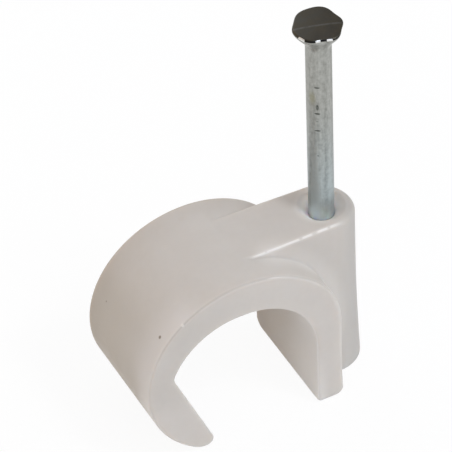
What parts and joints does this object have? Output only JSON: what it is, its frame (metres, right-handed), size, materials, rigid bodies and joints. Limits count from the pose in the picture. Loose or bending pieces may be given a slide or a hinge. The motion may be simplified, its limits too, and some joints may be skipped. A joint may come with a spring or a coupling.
{
  "type": "cable clip",
  "caption": "Nail-in cable clip: a moulded hook arches over a round cable, and a boss at its side carries the steel nail that fixes it to a wall.",
  "frame": {"origin": "middle of the footprint on the wall face, under the clip", "axes": "+Z away from the wall along the nail towards its head, Y along the cable, +X from the hook's open side to the nail boss"},
  "size_m": [0.0296, 0.0148, 0.0478],
  "materials": {
    "clip_plastic": "satin, natural milky plastic",
    "nail_steel": "drawn and zinc plated, darker forged head"
  },
  "bodies": {
    "root": {"clip_body": "clip_plastic", "nail": "nail_steel"}
  },
  "joints": []
}
